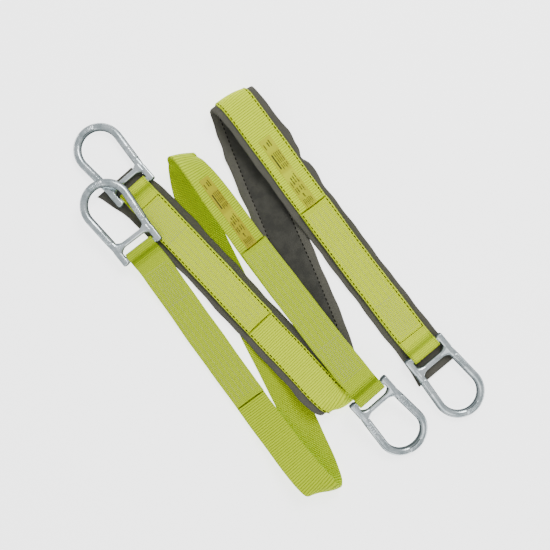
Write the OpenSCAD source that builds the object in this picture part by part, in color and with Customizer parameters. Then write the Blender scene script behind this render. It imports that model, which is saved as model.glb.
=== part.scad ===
// A pair of flat web slings lying folded on a flat surface.
// The plain sling is bare webbing. The padded sling carries a wear pad along its whole back.
// Each sling is one length of webbing, turned back and sewn round the end bar of a forged ring
// at both ends. X runs along the straps, Z is up, and the slings rest on z = 0.

/* [Webbing] */
// Width of the webbing
web_w = 50; // [46:1:51]
// Thickness of one ply of webbing
web_t = 3.2; // [2.5:0.1:3.6]
// Length of the plain sling's sewn tails, measured along the strap
plain_tail = 285; // [200:5:320]
// Length of the padded sling's sewn tails, measured along the strap
padded_tail = 280; // [200:5:320]

/* [Wear pad] */
// Width of the wear pad
pad_w = 70; // [60:1:72]
// Thickness of the wear pad
pad_t = 2.6; // [1.5:0.1:3]
// How far the pad runs on past the end bar of ring a
pad_run_a = 32; // [20:1:40]
// How far the pad runs on past the end bar of ring b
pad_run_b = 40; // [20:1:42]
// How far the pad's free end swings aside at ring a
pad_aside_a = 18; // [0:1:20]
// How far the pad's free end swings aside at ring b
pad_aside_b = 6; // [0:1:12]

/* [Rings] */
// Overall length of a ring
ring_len = 131; // [126:1:134]
// Width across the bow of a ring
ring_w = 82; // [80:1:84]
// Diameter of the rod at the bow
rod_d = 12.5; // [11:0.5:13]
// Diameter of the end bar that the webbing turns round
bar_d = 10; // [8:0.5:10]
// Diameter of the crossbar
crossbar_d = 7; // [5:0.5:8]
// Clear width of the slot between a ring's ears
slot_w = 52; // [51.5:0.5:54]

/* [Labels] */
// Width of a label
label_w = 20; // [14:1:26]
// Length of a label
label_len = 124; // [60:2:130]

/* [Hidden] */

gap = 0.1;              // clearance between layers that lie on each other
thread_t = 0.5;         // height of sewing thread above the cloth
label_t = 0.5;          // thickness of a label
steps = 3;              // rows between two stations of a route
bar_play = 0.3;         // clearance between an end bar and its webbing eye
eye_r = bar_d / 2 + bar_play + web_t / 2;   // middle of the webbing round a bar
ply = web_t + gap;      // distance between the middles of two plies
eye_close = 30;         // distance from a bar at which its two plies lie together
ear_end = 6.5;          // an ear's round end runs this far past the bar's axis
ear_w = 8.5;            // width of an ear
ear_h = 11;             // height of an ear
crossbar_x = 22;        // crossbar, from the bar's axis
bow_x = ring_len - ear_end - ring_w / 2;    // centre of the bow, from the bar's axis
bow_r = (ring_w - rod_d) / 2;               // middle of the rod round the bow
leg_y = (slot_w + ear_w) / 2;               // middle of an ear
leg_reach = norm([bow_x - crossbar_x, leg_y]);  // from an ear to the bow's centre
// The legs leave the ears at leg_y and meet the bow smoothly.
leg_turn = asin(bow_r / leg_reach) - atan(leg_y / (bow_x - crossbar_x));
leg_len = sqrt(leg_reach * leg_reach - bow_r * bow_r);
web_colour = "#cfe22e";
pad_colour = "#6e6b60";
thread_colour = "#3a3a34";
light_thread_colour = "#cfd0a8";
label_colour = "#e3c81a";
steel_colour = "#c3c9cd";

// Rings: the middle of the end bar, the heading from the bar to the bow, and its rise.
plain_a = [-151, -128, 21.2, 180.5, 4.2];
plain_b = [228, 17, 39.8, 4.5, -16.4];
padded_a = [-231, -82, 11.4, 184, -2.4];
padded_b = [231, 124, 16, 3, -4.7];

// Routes of the webbing's main ply, from ring a to ring b. A station is
// [x, y, z, direction of the width in plan, rise of the width], in mm and degrees.
plain_route = [
    [-151, -128, 14.3, 90.5, 0], [-132, -127.8, 12.2, 90.5, 0], [-107, -128.4, 9, 90, 0],
    [-77, -129.6, 4.8, 90, 0], [-50, -130.6, 2.6, 90, 0], [-20, -131.6, 2, 90, 0],
    [20, -132.6, 1.9, 90, 0], [93, -134, 2.6, 90, 0],
    [153, -135, 6, 90, 0], [203, -135, 14, 90, 0], [248, -133.5, 25, 90, 0],
    // over and under at the far end
    [276, -131, 33.5, 86, 0], [294, -128, 34, 77, -1], [304, -124.5, 27, 66, -4],
    [306, -121, 18, 60, -6], [303, -117, 9, 64, -3], [293, -113.5, 4.4, 73, -1],
    [278, -109, 2.5, 77, 0], [243, -101, 1.8, 77, 0], [183, -89, 1.65, 78, 0],
    [93, -72, 1.65, 78, 0], [-17, -52, 1.65, 78, 0], [-97, -37, 1.7, 78, 0],
    [-147, -27, 2, 77, 0],
    // up and over at the near end, leaning out to the right
    [-172, -20, 3, 73, -1], [-192, -12, 5.8, 67, -6], [-208, -4, 11, 62, -18],
    [-219, 2, 19.5, 62, -35], [-225, 7.5, 29.5, 68, -46], [-222, 10, 38.5, 76, -49],
    [-212, 11, 43.5, 82, -48], [-192, 11.5, 45.5, 86, -43], [-157, 12, 41, 90, -33],
    [-107, 11.5, 30, 90, -29], [-59, 10.5, 21.5, 90, -26], [-2, 10.5, 16, 90, -16],
    [58, 11.5, 12.5, 90, -7], [113, 12.2, 14.5, 90.5, -2], [163, 13.2, 23.8, 92, -1],
    [200, 14.8, 32.1, 94.5, 0], [228, 17, 32.9, 94.5, 0]];
padded_route = [
    [-231, -82, 4.5, 94, 0], [-212, -80.7, 5.6, 94, 0], [-182, -77.3, 10, 96, 0],
    [-152, -73.8, 9, 96, 0], [-57, -63, 8, 96, 0], [33, -53.5, 8.2, 96, 0],
    [83, -48, 10, 96, 0], [123, -43.5, 13.5, 96, -1], [158, -39.5, 18.5, 95, -2],
    // over and under at the far end
    [187, -36, 23.5, 93, -3], [204, -33, 26, 90, -4], [214, -29.5, 23.9, 86, -3],
    [219, -26, 16, 82, 0], [215, -22, 7.5, 78, 2], [205, -16.5, 4, 76, 1],
    [188, -7, 2.8, 75, 0], [163, 3.5, 2.4, 75, 0], [123, 16, 2.3, 75, 0],
    [33, 40.5, 2.3, 76, 0], [-57, 62, 2.3, 76, 0], [-127, 79.5, 2.3, 76, 0],
    [-187, 96, 2.6, 76, 0],
    // up and over at the near end
    [-217, 105, 4.2, 77, 0], [-237, 111, 7.5, 79, 0], [-250, 116, 14, 81, 0],
    [-255, 119, 22, 83, 0], [-251, 121, 30.5, 85, 0], [-240, 122, 36.3, 87, 0],
    [-222, 122, 37.8, 88, 0], [-177, 122, 33, 90, 0], [-117, 121.5, 24, 90, 0],
    [-55, 121.5, 16.5, 90, 0], [3, 121.5, 11, 90, 0], [63, 121.5, 6.8, 90, 0],
    [123, 122, 5, 90, 0], [178, 122.5, 5.8, 91, 0], [210, 123, 7.8, 92, 0],
    [231, 124, 9.1, 93, 0]];

function unit(v) = v / norm(v);
function place(s) = [s[0], s[1], s[2]];
function width_dir(s) = [cos(s[4]) * cos(s[3]), cos(s[4]) * sin(s[3]), sin(s[4])];

// Smooth rows through a route's stations, with a slope at each station.
function span(r, i) = norm(place(r[i + 1]) - place(r[i]));
function slope(r, i) =
    i == 0 ? (r[1] - r[0]) / span(r, 0) :
    i == len(r) - 1 ? (r[i] - r[i - 1]) / span(r, i - 1) :
    let (before = span(r, i - 1), after = span(r, i))
    ((r[i] - r[i - 1]) / before * after + (r[i + 1] - r[i]) / after * before)
        / (before + after);
function between(r, i, t) =
    let (h = span(r, i), t2 = t * t, t3 = t2 * t)
    (2 * t3 - 3 * t2 + 1) * r[i] + (t3 - 2 * t2 + t) * h * slope(r, i)
        + (3 * t2 - 2 * t3) * r[i + 1] + (t3 - t2) * h * slope(r, i + 1);
function smooth_rows(r) = concat(
    [for (i = [0:len(r) - 2]) for (j = [0:steps - 1]) between(r, i, j / steps)],
    [r[len(r) - 1]]);

// A frame is [middle, width direction, normal]. The normal points out of the sewn face.
function frame_at(p, w, t) = let (v = unit(w - (w * t) * t)) [p, v, cross(t, v)];
function frames(points, widths) = let (n = len(points)) [for (i = [0:n - 1])
    frame_at(points[i], widths[i], unit(points[min(n - 1, i + 1)] - points[max(0, i - 1)]))];
function route_frames(r) = let (rows = smooth_rows(r))
    frames([for (s = rows) place(s)], [for (s = rows) width_dir(s)]);
// The same strap followed from ring b, so that its width points the other way.
function from_b(f) = [for (g = turned(f)) [g[0], -g[1], g[2]]];
function turned(list) = [for (i = [len(list) - 1:-1:0]) list[i]];
function lengths(f) = [for (i = 0, d = 0; i < len(f);
    d = d + (i < len(f) - 1 ? norm(f[i + 1][0] - f[i][0]) : 0), i = i + 1) d];

// The part of a strap between two distances along it.
function part_of(f, from, to) = let (d = lengths(f), n = len(f)) concat(
    [cut_at(f, d, from)],
    [for (i = [0:n - 1]) if (d[i] > from + 0.5 && d[i] < to - 0.5) f[i]],
    [cut_at(f, d, to)]);
function cut_at(f, d, x) = let (
    i = max([for (k = [0:len(f) - 2]) if (d[k] <= x || k == 0) k]),
    t = (x - d[i]) / (d[i + 1] - d[i]))
    [f[i][0] * (1 - t) + f[i + 1][0] * t, unit(f[i][1] * (1 - t) + f[i + 1][1] * t),
        unit(f[i][2] * (1 - t) + f[i + 1][2] * t)];

// The tail ply above the main ply near a bar: it closes down from the eye.
function ease(t) = let (c = min(1, max(0, t))) c * c * (3 - 2 * c);
function ply_gap(x) = ply + (2 * eye_r - ply) * (1 - ease(x / eye_close));
function tail_of(f) = let (d = lengths(f)) [for (i = [0:len(f) - 1])
    [f[i][0] + ply_gap(d[i]) * f[i][2], f[i][1], f[i][2]]];
function bar_point(bar, a) = let (u = [cos(bar[3]), sin(bar[3]), 0])
    [bar[0], bar[1], bar[2]] + eye_r * (cos(a) * u + [0, 0, sin(a)]);
function bar_dir(bar) = [-sin(bar[3]), cos(bar[3]), 0];
function eye_points(bar) = [for (a = [-75:15:75]) bar_point(bar, a)];

// The whole length of webbing, from one tail's end to the other.
function web_frames(main, bar_a, bar_b, tail) = let (
    tail_a = tail_of(part_of(main, 0, tail)),
    tail_b = tail_of(part_of(from_b(main), 0, tail)),
    wa = bar_dir(bar_a) * sign(bar_dir(bar_a) * main[0][1]),
    wb = bar_dir(bar_b) * sign(bar_dir(bar_b) * main[len(main) - 1][1]),
    eye_a = turned(eye_points(bar_a)), eye_b = eye_points(bar_b),
    points = concat([for (f = turned(tail_a)) f[0]], eye_a, [for (f = main) f[0]], eye_b,
        [for (f = tail_b) f[0]]),
    widths = concat([for (f = turned(tail_a)) f[1]], [for (p = eye_a) wa],
        [for (f = main) f[1]], [for (p = eye_b) wb], [for (f = tail_b) -f[1]]))
    frames(points, widths);

// A flat layer along a strap. Its rows are cut at the given distances from the strap's middle,
// and lift is its lower face. Layers with the same cuts lie on each other without crossing.
function layer_ring(f, cuts, lift, t) = concat(
    [for (c = cuts) f[0] + c * f[1] + lift * f[2]],
    [for (c = turned(cuts)) f[0] + c * f[1] + (lift + t) * f[2]]);
module layer(f, cuts, lift, t) {
    n = len(f);
    m = 2 * len(cuts);
    points = [for (g = f) for (p = layer_ring(g, cuts, lift, t)) p];
    sides = [for (i = [0:n - 2]) for (k = [0:m - 1])
        let (a = m * i + k, b = m * i + (k + 1) % m, low = k < m / 2)
        for (face = low ? [[a, a + m, b], [b, a + m, b + m]] : [[a, a + m, b + m], [a, b + m, b]])
            face];
    first = [for (k = [0:m / 2 - 2]) for (face = [[k, k + 1, m - 2 - k], [k, m - 2 - k, m - 1 - k]])
        face];
    last = [for (face = first) [for (k = turned(face)) k + m * (n - 1)]];
    polyhedron(points, concat(sides, first, last), convexity = 6);
}
module band(f, side, w, lift, t) layer(f, [side - w / 2, side + w / 2], lift, t);
// A band across a strap, at a distance from its start.
module cross_band(f, at, len, w, lift, t) band(part_of(f, at, at + len), 0, w, lift, t);

plain_main = route_frames(plain_route);
padded_main = route_frames(padded_route);
plain_back = from_b(plain_main);
padded_back = from_b(padded_main);
tail_top = web_t / 2;                    // upper face of a tail, from its middle
pad_lift = -web_t / 2 - gap - pad_t;     // lower face of the pad, from the main ply's middle
stitch_from = 34;                        // sewing starts this far from a bar
stitch_rows = [-18, -9, 0, 9, 18];       // lengthways rows of sewing across a splice
row_w = 2.4;                             // width of a row of zigzag sewing
seam_side = web_w / 2 - 2.6;             // the pad's edge seams, from the strap's middle

module webbing(main, bar_a, bar_b, tail)
    color(web_colour) band(web_frames(main, bar_a, bar_b, tail), 0, web_w, -web_t / 2, web_t);

// One ring in its own frame: the end bar's axis is Y, and the bow is on +X.
module leg(side) translate([crossbar_x, side * leg_y, 0])
    rotate([0, 90, side * leg_turn]) {
        cylinder(h = leg_len, d1 = ear_h - 1.6, d2 = rod_d, $fn = 48);
        translate([0, 0, leg_len]) sphere(d = rod_d + 0.3, $fn = 48);
    }
module ear(side) translate([0, side * leg_y, 0]) {
    translate([0, -ear_w / 2, -ear_h / 2]) cube([crossbar_x + 4, ear_w, ear_h]);
    translate([0, ear_w / 2, 0]) rotate([90, 0, 0]) cylinder(h = ear_w, r = ear_end, $fn = 48);
}
module bar_across(x, d) translate([x, slot_w / 2 + 1, 0])
    rotate([90, 0, 0]) cylinder(h = slot_w + 2, d = d, $fn = 64);
module ring(at) translate([at[0], at[1], at[2]]) rotate([0, -at[4], at[3]])
    color(steel_colour) union() {
        translate([bow_x, 0, 0]) rotate([0, 0, -90 - leg_turn])
            rotate_extrude(angle = 180 + 2 * leg_turn, $fn = 96)
                translate([bow_r, 0]) circle(d = rod_d, $fn = 48);
        for (side = [-1, 1]) {
            leg(side);
            ear(side);
        }
        bar_across(0, bar_d);
        bar_across(crossbar_x, crossbar_d);
    }

// Lengthways rows and end rows of a splice, on the tail's upper face.
module splice(main, tail) {
    top = tail_of(part_of(main, 0, tail));
    color(light_thread_colour) {
        for (side = stitch_rows)
            band(part_of(top, stitch_from + 4, tail - 12), side, row_w, tail_top + gap, thread_t);
        cross_band(top, stitch_from, 2, web_w - 8, tail_top + gap, thread_t);
    }
}
module tack(main, tail)
    color(thread_colour) cross_band(tail_of(part_of(main, 0, tail)), tail - 7, 2.4, web_w - 3,
        tail_top + gap, thread_t);
module label(main, tail)
    color(label_colour) band(part_of(main, tail + 1, tail + 1 + label_len), 1, label_w,
        web_t / 2 + gap, label_t);

// The pad lies on the back of the padded sling's main ply and runs on past both bars.
function run_on(f, far) = let (d = unit(f[0][0] - f[1][0]), level = unit([d[0], d[1], 0]))
    [for (k = [3:-1:1]) [f[0][0] + far * k / 3 * level, f[0][1], f[0][2]]];
// Past its cross seam the pad is free, and its end swings aside.
function swung(f, far, aside) = let (d = lengths(f)) [for (i = [0:len(f) - 1])
    [f[i][0] + aside * (1 - ease(d[i] / (far + stitch_from - 4))) * f[i][1], f[i][1], f[i][2]]];
pad_from_a = swung(concat(run_on(padded_main, pad_run_a), padded_main), pad_run_a, -pad_aside_a);
pad_frames = from_b(swung(concat(run_on(padded_back, pad_run_b), from_b(pad_from_a)),
    pad_run_b, pad_aside_b));
module pad() color(pad_colour)
    layer(pad_frames, [-pad_w / 2, -web_w / 2, web_w / 2, pad_w / 2], pad_lift, pad_t);
// A seam shows on the main ply, and on each tail where the tail covers it.
module edge_seam(side) {
    length = lengths(padded_main)[len(padded_main) - 1];
    color(thread_colour) {
        band(part_of(padded_main, padded_tail + 3, length - padded_tail - 3),
            side * seam_side, 0.9, web_t / 2 + gap, thread_t);
        seam_on_tail(padded_main, side * seam_side);
        seam_on_tail(padded_back, -side * seam_side);
    }
}
module seam_on_tail(main, side)
    band(part_of(tail_of(part_of(main, 0, padded_tail)), stitch_from, padded_tail - 1),
        side, 0.9, tail_top + gap, thread_t);
module cross_seam(main)
    color(thread_colour) cross_band(tail_of(part_of(main, 0, padded_tail)), stitch_from - 4, 1.2,
        web_w - 10, tail_top + gap, thread_t);

webbing(plain_main, plain_a, plain_b, plain_tail);  // plain_webbing
ring(plain_a);  // plain_ring_a
ring(plain_b);  // plain_ring_b
label(plain_back, plain_tail);  // plain_label
splice(plain_main, plain_tail);  // plain_splice_stitching_a
splice(plain_back, plain_tail);  // plain_splice_stitching_b
tack(plain_main, plain_tail);  // plain_tail_tack_a
tack(plain_back, plain_tail);  // plain_tail_tack_b
webbing(padded_main, padded_a, padded_b, padded_tail);  // padded_webbing
pad();  // wear_pad
ring(padded_a);  // padded_ring_a
ring(padded_b);  // padded_ring_b
label(padded_back, padded_tail);  // padded_label
splice(padded_main, padded_tail);  // padded_splice_stitching_a
splice(padded_back, padded_tail);  // padded_splice_stitching_b
tack(padded_main, padded_tail);  // padded_tail_tack_a
tack(padded_back, padded_tail);  // padded_tail_tack_b
edge_seam(-1);  // pad_edge_seam_left
edge_seam(1);  // pad_edge_seam_right
cross_seam(padded_main);  // pad_cross_seam_a
cross_seam(padded_back);  // pad_cross_seam_b
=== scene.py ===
import copy
import math

import bpy
import numpy as np
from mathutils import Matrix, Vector


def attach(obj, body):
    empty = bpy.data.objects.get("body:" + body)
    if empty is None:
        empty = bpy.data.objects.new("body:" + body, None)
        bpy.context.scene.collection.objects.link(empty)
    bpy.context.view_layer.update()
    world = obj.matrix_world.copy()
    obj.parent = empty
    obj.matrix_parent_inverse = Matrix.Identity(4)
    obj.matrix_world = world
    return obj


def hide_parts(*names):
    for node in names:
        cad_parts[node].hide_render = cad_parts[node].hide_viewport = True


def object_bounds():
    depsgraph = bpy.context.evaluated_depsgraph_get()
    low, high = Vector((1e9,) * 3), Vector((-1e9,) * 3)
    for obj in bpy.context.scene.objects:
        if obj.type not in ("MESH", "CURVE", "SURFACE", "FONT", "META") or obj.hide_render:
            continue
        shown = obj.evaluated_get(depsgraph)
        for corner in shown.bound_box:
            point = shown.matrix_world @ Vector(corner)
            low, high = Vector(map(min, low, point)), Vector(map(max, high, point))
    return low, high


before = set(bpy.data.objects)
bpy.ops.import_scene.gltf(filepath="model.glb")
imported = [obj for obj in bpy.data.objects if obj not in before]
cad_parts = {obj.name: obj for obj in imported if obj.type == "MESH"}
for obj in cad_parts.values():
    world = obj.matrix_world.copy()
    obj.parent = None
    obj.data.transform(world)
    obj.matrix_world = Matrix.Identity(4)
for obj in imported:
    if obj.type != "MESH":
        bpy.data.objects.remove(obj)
cad_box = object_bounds()
MM = 0.001

# ------------------------------------------------------------------ camera, light and floor
CAMERA_AT = (0.002, 0.011, 1.15)
CAMERA_TURN = math.radians(53.0)    # the camera looks straight down, turned about Z
SENSOR_MM, LENS_MM = 36.0, 48.6
LAMPS = (("key", (-0.55, 0.95, 1.5), 0.9, 25), ("fill", (0.9, -0.5, 1.3), 1.2, 5))
HORIZON, ZENITH = (0.42, 0.43, 0.44), (0.62, 0.63, 0.64)
FLOOR_HALF, FLOOR_DROP = 6.0, 0.0002


def make_camera():
    data = bpy.data.cameras.new("camera")
    data.sensor_width = SENSOR_MM
    data.lens = LENS_MM
    cam = bpy.data.objects.new("camera", data)
    cam.location = CAMERA_AT
    cam.rotation_euler = (0, 0, CAMERA_TURN)
    bpy.context.scene.collection.objects.link(cam)
    bpy.context.scene.camera = cam


def make_light(name, place, size, watts):
    """A round lamp that faces the origin."""
    data = bpy.data.lights.new(name, "AREA")
    data.shape = "DISK"
    data.size = size
    data.energy = watts
    lamp = bpy.data.objects.new(name, data)
    lamp.location = place
    lamp.rotation_euler = (-Vector(place)).to_track_quat("-Z", "Y").to_euler()
    bpy.context.scene.collection.objects.link(lamp)


make_camera()
for lamp_row in LAMPS:
    make_light(*lamp_row)


class Net:
    """A small helper that builds a node tree from plain expressions."""

    def __init__(self, tree):
        self.tree = tree

    def new(self, kind, **settings):
        n = self.tree.nodes.new(kind)
        for key, value in settings.items():
            setattr(n, key, value)
        return n

    def put(self, socket, value):
        """Links an output to the socket, or sets the socket's value."""
        if hasattr(value, "is_output"):
            self.tree.links.new(value, socket)
        else:
            socket.default_value = value

    def m(self, op, a, b=None, c=None, clamp=False):
        n = self.new("ShaderNodeMath", operation=op, use_clamp=clamp)
        for i, v in enumerate((a, b, c)):
            if v is not None:
                self.put(n.inputs[i], v)
        return n.outputs[0]

    def times(self, a, b):
        return self.m("MULTIPLY", a, b)

    def step(self, x, low, high):
        """0 below low and 1 above high, with a smooth rise between them."""
        n = self.new("ShaderNodeMapRange", interpolation_type="SMOOTHSTEP")
        self.put(n.inputs["Value"], x)
        n.inputs["From Min"].default_value = low
        n.inputs["From Max"].default_value = high
        return n.outputs["Result"]

    def band(self, x, low, high, soft):
        """1 where x lies between low and high, with soft sides."""
        up = self.step(x, low - soft, low + soft)
        down = self.step(x, high - soft, high + soft)
        return self.m("SUBTRACT", up, down, clamp=True)

    def split(self, vector):
        n = self.new("ShaderNodeSeparateXYZ")
        self.tree.links.new(vector, n.inputs[0])
        return n.outputs

    def attribute(self, name):
        """A stored vector, whole and as its three parts."""
        n = self.new("ShaderNodeAttribute", attribute_name=name)
        return n.outputs["Vector"], self.split(n.outputs["Vector"])

    def coordinate(self, kind):
        return self.new("ShaderNodeTexCoord").outputs[kind]

    def noise(self, vector, scale, detail=3, rough=0.55):
        n = self.new("ShaderNodeTexNoise")
        self.put(n.inputs["Vector"], vector)
        n.inputs["Scale"].default_value = scale
        n.inputs["Detail"].default_value = detail
        n.inputs["Roughness"].default_value = rough
        return n.outputs["Fac"]

    def mix(self, fac, a, b):
        """A mix of two colours; inputs 0, 6 and 7 and output 2 are the node's colour sockets."""
        n = self.new("ShaderNodeMix", data_type="RGBA")
        self.put(n.inputs[0], fac)
        self.put(n.inputs[6], (*a, 1) if isinstance(a, tuple) else a)
        self.put(n.inputs[7], (*b, 1) if isinstance(b, tuple) else b)
        return n.outputs[2]

    def bump(self, height, distance, strength=1.0):
        """A bumped normal; distance is in metres."""
        n = self.new("ShaderNodeBump")
        self.put(n.inputs["Height"], height)
        n.inputs["Distance"].default_value = distance
        n.inputs["Strength"].default_value = strength
        return n.outputs["Normal"]


def material(name, **principled):
    mat = bpy.data.materials.new(name)
    mat.use_nodes = True
    shader = mat.node_tree.nodes["Principled BSDF"]
    for key, value in principled.items():
        shader.inputs[key.replace("_", " ")].default_value = value
    return mat, Net(mat.node_tree), shader


def make_world():
    """Pale light from all round, a little brighter overhead."""
    world = bpy.data.worlds.new("studio")
    world.use_nodes = True
    bpy.context.scene.world = world
    net = Net(world.node_tree)
    ground = world.node_tree.nodes["Background"]
    up = net.step(net.split(net.coordinate("Generated"))[2], 0.05, 0.75)
    net.put(ground.inputs["Color"], net.mix(up, HORIZON, ZENITH))
    ground.inputs["Strength"].default_value = 1.2


def make_floor():
    mesh = bpy.data.meshes.new("floor")
    r = FLOOR_HALF
    mesh.from_pydata([(-r, -r, 0), (r, -r, 0), (r, r, 0), (-r, r, 0)], [], [(0, 1, 2, 3)])
    floor = bpy.data.objects.new("floor", mesh)
    floor.location.z = cad_box[0][2] - FLOOR_DROP
    bpy.context.scene.collection.objects.link(floor)
    paper, _, _ = material("floor_paper", Base_Color=(0.93, 0.93, 0.93, 1), Roughness=0.9,
                           Specular_IOR_Level=0.0, Emission_Color=(1, 1, 1, 1), Emission_Strength=2.4)
    mesh.materials.append(paper)


make_world()
make_floor()

# ------------------------------------------------------------------ sizes, in mm, as in the CAD source
WEB_W, WEB_T = 50.0, 3.2
PAD_W, PAD_T = 70.0, 2.6
PAD_RUN_A, PAD_RUN_B, PAD_ASIDE_A, PAD_ASIDE_B = 32.0, 40.0, 18.0, 6.0
PLAIN_TAIL, PADDED_TAIL = 285.0, 280.0
RING_LEN, RING_W, ROD = 131.0, 82.0, 12.5
BAR_D, SLOT_W = 10.0, 52.0
GAP = 0.1
EYE_R = BAR_D / 2 + 0.3 + WEB_T / 2
PLY = WEB_T + GAP
EYE_CLOSE = 30.0
EAR_END, EAR_W, EAR_H, CROSSBAR_X = 6.5, 8.5, 11.0, 22.0
BOW_X = RING_LEN - EAR_END - RING_W / 2
BOW_R = (RING_W - ROD) / 2
LEG_Y = (SLOT_W + EAR_W) / 2
LABEL_W, LABEL_LEN, LABEL_TUCK = 20.0, 124.0, 4.0
STITCH_FROM = 34.0
SEAM_SIDE = WEB_W / 2 - 2.6
STEPS = 8                           # rows to each gap between stations

# Bars of the four rings, as in the CAD source: centre x, y, z, heading and pitch of the ring.
PLAIN_A = (-151, -128, 21.2, 180.5, 4.2)
PLAIN_B = (228, 17, 39.8, 4.5, -16.4)
PADDED_A = (-231, -82, 11.4, 184, -2.4)
PADDED_B = (231, 124, 16, 3, -4.7)
# Stations of a route, as in the CAD source: x, y, z, direction of the width, rise of the width.
PLAIN_ROUTE = [
    [-151, -128, 14.3, 90.5, 0], [-132, -127.8, 12.2, 90.5, 0], [-107, -128.4, 9, 90, 0],
    [-77, -129.6, 4.8, 90, 0], [-50, -130.6, 2.6, 90, 0], [-20, -131.6, 2, 90, 0],
    [20, -132.6, 1.9, 90, 0], [93, -134, 2.6, 90, 0],
    [153, -135, 6, 90, 0], [203, -135, 14, 90, 0], [248, -133.5, 25, 90, 0],
    [276, -131, 33.5, 86, 0], [294, -128, 34, 77, -1], [304, -124.5, 27, 66, -4],
    [306, -121, 18, 60, -6], [303, -117, 9, 64, -3], [293, -113.5, 4.4, 73, -1],
    [278, -109, 2.5, 77, 0], [243, -101, 1.8, 77, 0], [183, -89, 1.65, 78, 0],
    [93, -72, 1.65, 78, 0], [-17, -52, 1.65, 78, 0], [-97, -37, 1.7, 78, 0],
    [-147, -27, 2, 77, 0],
    [-172, -20, 3, 73, -1], [-192, -12, 5.8, 67, -6], [-208, -4, 11, 62, -18],
    [-219, 2, 19.5, 62, -35], [-225, 7.5, 29.5, 68, -46], [-222, 10, 38.5, 76, -49],
    [-212, 11, 43.5, 82, -48], [-192, 11.5, 45.5, 86, -43], [-157, 12, 41, 90, -33],
    [-107, 11.5, 30, 90, -29], [-59, 10.5, 21.5, 90, -26], [-2, 10.5, 16, 90, -16],
    [58, 11.5, 12.5, 90, -7], [113, 12.2, 14.5, 90.5, -2], [163, 13.2, 23.8, 92, -1],
    [200, 14.8, 32.1, 94.5, 0], [228, 17, 32.9, 94.5, 0]]
PADDED_ROUTE = [
    [-231, -82, 4.5, 94, 0], [-212, -80.7, 5.6, 94, 0], [-182, -77.3, 10, 96, 0],
    [-152, -73.8, 9, 96, 0], [-57, -63, 8, 96, 0], [33, -53.5, 8.2, 96, 0],
    [83, -48, 10, 96, 0], [123, -43.5, 13.5, 96, -1], [158, -39.5, 18.5, 95, -2],
    [187, -36, 23.5, 93, -3], [204, -33, 26, 90, -4], [214, -29.5, 23.9, 86, -3],
    [219, -26, 16, 82, 0], [215, -22, 7.5, 78, 2], [205, -16.5, 4, 76, 1],
    [188, -7, 2.8, 75, 0], [163, 3.5, 2.4, 75, 0], [123, 16, 2.3, 75, 0],
    [33, 40.5, 2.3, 76, 0], [-57, 62, 2.3, 76, 0], [-127, 79.5, 2.3, 76, 0],
    [-187, 96, 2.6, 76, 0],
    [-217, 105, 4.2, 77, 0], [-237, 111, 7.5, 79, 0], [-250, 116, 14, 81, 0],
    [-255, 119, 22, 83, 0], [-251, 121, 30.5, 85, 0], [-240, 122, 36.3, 87, 0],
    [-222, 122, 37.8, 88, 0], [-177, 122, 33, 90, 0], [-117, 121.5, 24, 90, 0],
    [-55, 121.5, 16.5, 90, 0], [3, 121.5, 11, 90, 0], [63, 121.5, 6.8, 90, 0],
    [123, 122, 5, 90, 0], [178, 122.5, 5.8, 91, 0], [210, 123, 7.8, 92, 0],
    [231, 124, 9.1, 93, 0]]

# ------------------------------------------------------------------ sizes that only the visible pieces have
FULL_EAR, FULL_CROSSBAR = 10.4, 8.8  # the forging swells a little past its plain sizes
FLOOR_GAP = 0.05                    # the lowest that a point of cloth or thread may lie
LABEL_T = 0.45
# Folds: station at the crest, reach along the strap, and how far the middle and the two edges
# stand out.
PLAIN_FOLDS = ((14, 18, 5.0, -6.0, -2.5), (29, 18, 2.0, -1.0, -2.0))
PADDED_FOLDS = ((12, 17, 5.5, -7.0, -2.0), (25, 17, 2.6, -2.2, -2.6))
# Corners that are drawn in at the folds: station, reach, side, amount.
PLAIN_CORNERS = ((28.1, 16, 1, 5.5), (14, 17, -1, 9.0))
PADDED_CORNERS = ((12, 18, -1, 5.0),)
# Creases of a tail behind the bar: distance from the middle of the eye, reach, height.
EYE_CREASES = ((24.5, 1.1, 0.5), (28, 1.0, 0.4), (31, 1.0, 0.3))
# Bulges and waists of the pad's two free edges: station, reach, outward.
PAD_WAVES = {
    1: ((29.4, 14, 3.2), (30.06, 9, -5.5), (30.4, 12, 0.5), (30.9, 16, -2.6), (32, 60, -1.6),
        (34, 50, -1.0), (3.2, 30, 1.2), (5.2, 28, -1.0), (7.0, 20, 1.0), (17, 40, 1.5),
        (1.5, 20, 1.0)),
    -1: ((22, 16, 2.4), (20.9, 14, 3.0), (20, 26, 2.2), (18.6, 60, 2.0), (17, 40, 1.5),
         (29, 30, -0.6), (31, 40, 0.7), (33, 40, -0.5), (2.4, 30, 1.0), (0.2, 22, 2.0),
         (5, 60, 0.8), (8.5, 18, 1.6))}


# ------------------------------------------------------------------ routes
def unit(v):
    v = np.asarray(v, float)
    return v / np.linalg.norm(v, axis=-1, keepdims=True)


def ease(t):
    c = np.clip(t, 0, 1)
    return c * c * (3 - 2 * c)


def bell(x, centre, reach):
    return np.exp(-((x - centre) / reach) ** 2)


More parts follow.
